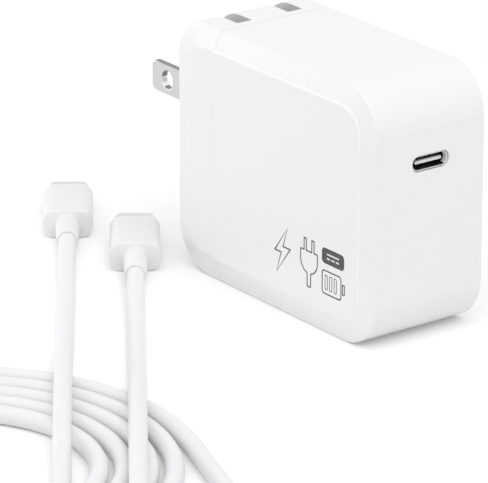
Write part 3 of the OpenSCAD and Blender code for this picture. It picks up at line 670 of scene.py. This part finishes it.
def plug_insert_mesh():
    """Black insert with the slot for a tongue, and the two rows of contacts in the slot."""
    y0 = RELIEF_L + GRIP_L + SHELL_SKIN
    y1 = y0 + SHELL_L - 2 * SHELL_SKIN

    def slot_ring(grow, y):
        """The section of the slot, widened by grow."""
        return slot_like_ring(SLOT_W + 2 * grow, SLOT_T + 2 * grow, y)

    meshes = [finished(loft([
        shell_ring(SHELL_SKIN + INSERT_GAP, y0),
        shell_ring(SHELL_SKIN + INSERT_GAP, y1 - INSERT_EDGE),
        shell_ring(SHELL_SKIN + INSERT_EDGE, y1),
        slot_ring(SLOT_EDGE, y1),
        slot_ring(0, y1 - SLOT_EDGE_L),
        slot_ring(0, y0 + SLOT_FLOOR_T),
    ]), BLACK)]
    for side in (-1, 1):
        row = contact_row(PLUG_CONTACT, GOLD)
        at = (0, y0 + PLUG_CONTACT_FROM, side * (SLOT_T / 2 - PLUG_CONTACT_SUNK))
        row.transform(Matrix.Translation(Vector(at) * MM))
        meshes.append(row)
    return joined(meshes)


def grip_ring(inset, y):
    """The section of the grip, drawn in by inset."""
    return rounded_ring(GRIP_W - 2 * inset, GRIP_T - 2 * inset, GRIP_R - inset, y)


def plug_grip_mesh():
    """Rounded bar with a fine radius round each end."""
    rings = []
    for a in QUARTER:
        inset = GRIP_EDGE * (1 - math.sin(a))
        rings.append(grip_ring(inset, RELIEF_L + GRIP_EDGE * (1 - math.cos(a))))
    for a in reversed(QUARTER):
        inset = GRIP_EDGE * (1 - math.sin(a))
        rings.append(grip_ring(inset, RELIEF_L + GRIP_L - GRIP_EDGE * (1 - math.cos(a))))
    return finished(loft(rings), LEAD)


def relief_mesh():
    """Tapered sleeve with a rounded end that closes on the lead."""
    rings = [round_ring(LEAD_D / 2 - LIP_IN, LIP_L), round_ring(LEAD_D / 2 + LIP_OUT, 0)]
    for a in QUARTER:
        inset = RELIEF_EDGE * (1 - math.sin(a))
        rings.append(round_ring(RELIEF_END_D / 2 - inset, RELIEF_EDGE * (1 - math.cos(a))))
    rings.append(round_ring(RELIEF_D / 2, RELIEF_L))
    return finished(loft(rings), LEAD)


PLUG_PARTS = [
    ("plug_shell", plug_shell_mesh, "connector_steel"),
    ("plug_insert", plug_insert_mesh, "black_insulator"),
    ("plug_grip", plug_grip_mesh, "lead_white"),
    ("strain_relief", relief_mesh, "lead_white"),
]


def make_plug(letter, relief):
    """The pieces of one plug, with its strain relief's end at relief on the lead's own XY."""
    seat = ON_SURFACE @ Matrix.Translation(Vector((*relief, PLUG_Z)) * MM)
    made = []
    for name, build, slot in PLUG_PARTS:
        mesh = build()
        mesh.transform(seat)
        part = piece(f"{name}_{letter}_finished", mesh, CHARGER, f"{name}_{letter}")
        made.append(part)
    return made


plug_pieces = make_plug("a", RELIEF_A) + make_plug("b", RELIEF_B)

# ---------- Charger ----------

EDGE, BLADE_EDGE, PORT_EDGE = 0.12, 0.22, 0.08
FINE_SEGMENTS = 3
BODY_H = 53.7
NOTCH_PITCH, NOTCH_W = 12.7, 3.65
NOTCH_FLOOR, NOTCH_FLOOR_SPARE = 44.7, 0.05
NOTCH_RIM = 0.3
CORNER_X, CORNER_Z, CORNER_R = -23.5, 44.7, 9.0
PANEL_EDGE_Y = 13.9
PANEL_EDGE_NORMAL_Y = (0.6, 0.996)
CUT_NORMAL_Y = 0.35
BRIGHT_SIDE, BRIGHT_FROM = Vector((0.9, 0, 0.42)), 0.8
PORT_END_NORMAL_Y = 0.6


def dress(node, material, body, width_mm=EDGE, segments=2, seam=False):
    """Stands a softened copy in for a CAD node."""
    mesh = finished(softened(node, width_mm, segments, seam), material)
    made = piece(node + "_finished", mesh, body, node)
    return made


def refaced(part, material, chosen):
    """Gives the faces that chosen picks another material."""
    part.data.materials.append(material)
    for face in part.data.polygons:
        if chosen(face):
            face.material_index = len(part.data.materials) - 1


def in_notch(face):
    """Whether a face of the end cap is on a wall of one of the blade notches, which are a
    darker grey as painted shade.
    """
    at = face.center / MM
    if abs(abs(at.y) - NOTCH_PITCH / 2) > NOTCH_W / 2 + NEAR:
        return False
    if at.z < NOTCH_FLOOR - NOTCH_FLOOR_SPARE:
        return False
    if at.x < CORNER_X and at.z > CORNER_Z:
        return math.hypot(at.x - CORNER_X, at.z - CORNER_Z) < CORNER_R - NOTCH_RIM
    return at.z < BODY_H - NOTCH_RIM


def on_panel_edge(face):
    """Whether a face is on the narrow rounding round a raised panel, where a paler colour is a
    painted highlight.
    """
    least, most = PANEL_EDGE_NORMAL_Y
    return abs(face.center.y) > PANEL_EDGE_Y * MM and least < abs(face.normal.y) < most


def on_cut_edge(face):
    """Whether a face of a blade was cut from the sheet, at its outline or in its hole. These
    faces are dark: partly bare cut metal, partly a painted dark reflection.
    """
    return abs(face.normal.y) < CUT_NORMAL_Y


def on_bright_side(face):
    """Whether a cut face looks along BRIGHT_SIDE, the side of the hole that gets a painted
    highlight.
    """
    return on_cut_edge(face) and face.normal.dot(BRIGHT_SIDE) > BRIGHT_FROM


def in_port_end(face):
    """Whether a face of the port shell is inside one of its round ends."""
    return face.normal.y * math.copysign(1, face.center.y) < -PORT_END_NORMAL_Y


main_shell = dress("main_shell", HOUSING, CHARGER, seam=True)
end_cap = dress("end_cap", HOUSING, CHARGER, seam=True)
# Painted shade on the walls of the blade notches.
refaced(end_cap, NOTCH_PAINTED_SHADE, in_notch)
# Painted highlight: the rounding round each raised panel gets the paler white.
for part in (main_shell, end_cap):
    refaced(part, PAINTED_EDGE_HIGHLIGHT, on_panel_edge)
dress("prong_hub", HOUSING, PRONGS)
for node in ("line_blade", "neutral_blade"):
    blade = dress(node, NICKEL, PRONGS, BLADE_EDGE, FINE_SEGMENTS)
    # The cut faces get the dark colour: bare cut metal and painted dark reflection.
    refaced(blade, CUT_EDGE_AND_DARK_REFLECTION, on_cut_edge)
    # Painted highlight on the side of the hole that looks along BRIGHT_SIDE.
    refaced(blade, HOLE_PAINTED_HIGHLIGHT, on_bright_side)
port = dress("usb_port_shell", STEEL, CHARGER, PORT_EDGE,
             FINE_SEGMENTS)
# The round inner ends of the port get the painted reflection and painted shade.
refaced(port, PORT_END_PAINTED_LIGHT, in_port_end)

for node, material in CARRIED.items():
    finished(NODES[node].data, material)

# ---------- Port tongue ----------

TONGUE_EDGE = 0.02
TIP_L, TIP_PROUD = 0.45, 0.01
TIP_EDGE, TIP_EDGE_L = 0.06, 0.05
PORT_CONTACT = (0.25, 3.0, 0.04)
PORT_CONTACT_BACK, PORT_CONTACT_PROUD = 1.7, 0.01
QUARTER_TURN = math.radians(90)


def port_tongue_mesh():
    """The black tongue with its pale tip plate, whose pale colour is a painted highlight on
    the lit front edge, and a row of contacts on either face.
    """
    low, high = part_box("usb_port_tongue")
    tip, height = high[0] / MM, (low[2] + high[2]) / 2 / MM
    body = finished(softened("usb_port_tongue", TONGUE_EDGE), BLACK)
    grow = 2 * TIP_PROUD
    half = (TONGUE_T + grow) / 2 - SLIVER
    rings = [
        rounded_ring(TONGUE_W + grow - 2 * inset, TONGUE_T + grow - 2 * inset, half - inset, x)
        for inset, x in ((0, tip - TIP_L), (0, tip - TIP_EDGE_L), (TIP_EDGE, tip + TIP_PROUD))
    ]
    # The tip plate is pale as a painted highlight.
    plate = finished(loft(rings), TIP_PAINTED_HIGHLIGHT)
    plate.transform(Matrix.Rotation(-QUARTER_TURN, 4, "Z"))
    plate.transform(Matrix.Translation((0, 0, height * MM)))
    meshes = [body, plate]
    for side in (-1, 1):
        row = contact_row(PORT_CONTACT, GOLD)
        row.transform(Matrix.Rotation(QUARTER_TURN, 4, "Z"))
        above = side * (TONGUE_T / 2 + PORT_CONTACT_PROUD)
        at = (tip - TIP_L - PORT_CONTACT_BACK, 0, height + above)
        row.transform(Matrix.Translation(Vector(at) * MM))
        meshes.append(row)
    return joined(meshes)


tongue = piece("usb_port_tongue_finished", port_tongue_mesh(), CHARGER, "usb_port_tongue")

# ---------- Print on the panel ----------

PANEL_Y = -14.15
PRINT_H, PRINT_SUNK = 0.02, 0.01
MARK_H = PRINT_H + 0.01
STROKE = 0.28
BAR_STROKE = 0.6 * STROKE
MITRE_LIMIT = 0.35
BAR_PITCH = 1.45


def arc(x, z, radius, start, end, steps=6):
    """Points along an arc in the panel's plane, angles in degrees."""
    turns = [math.radians(start + (end - start) * k / steps) for k in range(steps + 1)]
    return [(x + radius * math.cos(a), z + radius * math.sin(a)) for a in turns]


def rounded_box(x0, x1, z0, z1, radius):
    """Corners of a rounded rectangle, anticlockwise."""
    points = arc(x1 - radius, z1 - radius, radius, 0, 90)
    points += arc(x0 + radius, z1 - radius, radius, 90, 180)
    points += arc(x0 + radius, z0 + radius, radius, 180, 270)
    return points + arc(x1 - radius, z0 + radius, radius, 270, 360)


def three_bars(x0, x1, z0, z1, radius):
    """A rounded rectangle three times, side by side."""
    shifts = [BAR_PITCH * k for k in range(3)]
    return [rounded_box(x0 + shift, x1 + shift, z0, z1, radius) for shift in shifts]


def printed(form, outer, inner=None, top=PRINT_H):
    """Adds a printed area to the form: a filled outline, or the band between two outlines."""
    base = PANEL_Y + PRINT_SUNK
    face = PANEL_Y - top

    def row(points, y):
        """Corners of the form along an outline at y."""
        return [form.verts.new(Vector((x, y, z)) * MM) for x, z in points]

    def wall(first, second):
        """Faces between two rows of corners."""
        for i in range(len(first)):
            j = (i + 1) % len(first)
            form.faces.new((first[i], first[j], second[j], second[i]))

    low, high = row(outer, base), row(outer, face)
    wall(low, high)
    if inner is None:
        form.faces.new(high)
        form.faces.new(list(reversed(low)))
        return
    low_in, high_in = row(inner, base), row(inner, face)
    wall(high, high_in)
    wall(high_in, low_in)
    wall(low_in, low)


def drawn_in(points, distance):
    """A closed outline moved inwards, with mitred corners; anticlockwise points."""
    moved = []
    for i, (x, z) in enumerate(points):
        (x0, z0), (x1, z1) = points[i - 1], points[(i + 1) % len(points)]
        before = Vector((x - x0, z - z0)).normalized()
        after = Vector((x1 - x, z1 - z)).normalized()
        normal = Vector((-before.y - after.y, before.x + after.x))
        share = max(MITRE_LIMIT, 1 + before.dot(after))
        moved.append((x + normal.x * distance / share, z + normal.y * distance / share))
    return moved


BOLT = [
    (5.3, 18.6), (0.9, 12.9), (3.1, 12.9), (1.7, 8.4), (6.5, 14.5), (4.1, 14.5),
]
PLUG_SIGN = (
    [(14.1, 18.5), (13.1, 18.5), (13.1, 16.0), (11.6, 16.0), (11.6, 18.5), (10.6, 18.5)]
    + [(10.6, 16.0), (9.5, 16.0)] + arc(12.35, 13.9, 2.85, 180, 255, 8)
    + [(11.7, 8.3), (13.0, 8.3)] + arc(12.35, 13.9, 2.85, 285, 360, 8)
    + [(15.2, 16.0), (14.1, 16.0)]
)
BADGE = rounded_box(16.5, 23.6, 14.95, 18.2, 0.9)
CELL = rounded_box(16.5, 22.8, 8.5, 13.6, 0.8)
CELL_END = rounded_box(23.0, 23.9, 9.9, 12.2, 0.3)
CELL_BARS = three_bars(17.5, 18.4, 9.5, 12.6, 0.2)
DIRECT_CURRENT = [rounded_box(18.1, 22.0, 16.85, 17.2, 0.1)]
DIRECT_CURRENT += three_bars(18.1, 19.1, 15.95, 16.3, 0.1)


def print_mesh():
    """Outlined pictograms and a dark badge, each a thin closed layer of ink."""
    ink, pale = bmesh.new(), bmesh.new()
    for outline in (BOLT, PLUG_SIGN, CELL, CELL_END):
        printed(ink, outline, drawn_in(outline, STROKE))
    for bar in CELL_BARS:
        printed(ink, bar, drawn_in(bar, BAR_STROKE))
    printed(ink, BADGE)
    for mark in DIRECT_CURRENT:
        printed(pale, mark, top=MARK_H)
    meshes = []
    for form, material in ((ink, INK), (pale, PALE_INK)):
        bmesh.ops.recalc_face_normals(form, faces=form.faces)
        meshes.append(finished(meshed(form, "print_layer"), material))
    return joined(meshes)


piece("panel_print", print_mesh(), CHARGER)

# ---------- Floor, backdrop and light ----------

FLOOR_HALF = 6.0
FLOOR_COLOR = (0.9, 0.9, 0.9, 1)
FLOOR_GLOW = 0.16
AMBIENT = 0.675
LIT_POINT = Vector((0, -0.03, 0.02))
SOFTBOXES = [
    ("front_strip", (-0.52, -0.46, 0.065), (0.7, 0.11), 0.36),
    ("low_strip", (-0.24, -0.21, 0.014), (0.5, 0.024), 0.11),
    ("key_softbox", (-0.25, -0.85, 1.15), (0.7, 0.7), 1.3),
    ("top_softbox", (0.42, -0.12, 0.88), (0.8, 0.8), 3.5),
]


def shown_directly(tree):
    """A socket that is 1 on rays from the camera and on what metal or glass shows, else 0."""
    path = tree.nodes.new("ShaderNodeLightPath")
    shown = path.outputs["Is Camera Ray"]
    for kind in ("Is Glossy Ray", "Is Transmission Ray"):
        either = tree.nodes.new("ShaderNodeMath")
        either.operation = "MAXIMUM"
        tree.links.new(shown, either.inputs[0])
        tree.links.new(path.outputs[kind], either.inputs[1])
        shown = either.outputs[0]
    return shown


def glow(tree, kind, strength):
    """The output of a white shader of this kind and strength."""
    made = tree.nodes.new("ShaderNode" + kind)
    made.inputs["Color"].default_value = (1, 1, 1, 1)
    made.inputs["Strength"].default_value = strength
    return made.outputs[0]


def lit_and_shown(tree, lit, shown):
    """The output of a shader that lights the part as lit does and is shown as shown is."""
    made = tree.nodes.new("ShaderNodeMixShader")
    for socket, output in zip(made.inputs, (shown_directly(tree), lit, shown)):
        tree.links.new(output, socket)
    return made.outputs[0]


def make_floor():
    """A wide pale floor: white to the camera, and it keeps the soft shadow of the part."""
    form = bmesh.new()
    corners = ((-1, -1), (1, -1), (1, 1), (-1, 1))
    form.faces.new([form.verts.new((FLOOR_HALF * x, FLOOR_HALF * y, 0)) for x, y in corners])
    mesh = meshed(form, "floor")
    floor = placed("floor", mesh)
    material = bpy.data.materials.new("pale_floor")
    material.use_nodes = True
    tree = material.node_tree
    tree.nodes.clear()
    matt = tree.nodes.new("ShaderNodeBsdfDiffuse")
    matt.inputs["Color"].default_value = FLOOR_COLOR
    dark, bright = (glow(tree, "Emission", strength) for strength in (0, FLOOR_GLOW))
    total = tree.nodes.new("ShaderNodeAddShader")
    tree.links.new(matt.outputs[0], total.inputs[0])
    tree.links.new(lit_and_shown(tree, dark, bright), total.inputs[1])
    out = tree.nodes.new("ShaderNodeOutputMaterial")
    tree.links.new(total.outputs[0], out.inputs["Surface"])
    mesh.materials.append(material)


def make_world():
    """Even white surroundings, pure white where they are seen directly or mirrored."""
    world = bpy.data.worlds.new("studio")
    bpy.context.scene.world = world
    world.use_nodes = True
    tree = world.node_tree
    tree.nodes.clear()
    around, behind = (glow(tree, "Background", strength) for strength in (AMBIENT, 1))
    out = tree.nodes.new("ShaderNodeOutputWorld")
    tree.links.new(lit_and_shown(tree, around, behind), out.inputs["Surface"])


def softbox(name, place, size, watts):
    """A rectangular light that the camera doesn't see, turned to LIT_POINT."""
    data = bpy.data.lights.new(name, "AREA")
    data.shape = "RECTANGLE"
    data.size, data.size_y = size
    data.energy = watts
    light = placed(name, data)
    light.location = place
    light.visible_camera = False
    light.rotation_mode = "QUATERNION"
    light.rotation_quaternion = (LIT_POINT - Vector(place)).to_track_quat("-Z", "Y")


make_floor()
make_world()
for light in SOFTBOXES:
    softbox(*light)
bpy.context.scene.view_settings.view_transform = "Standard"
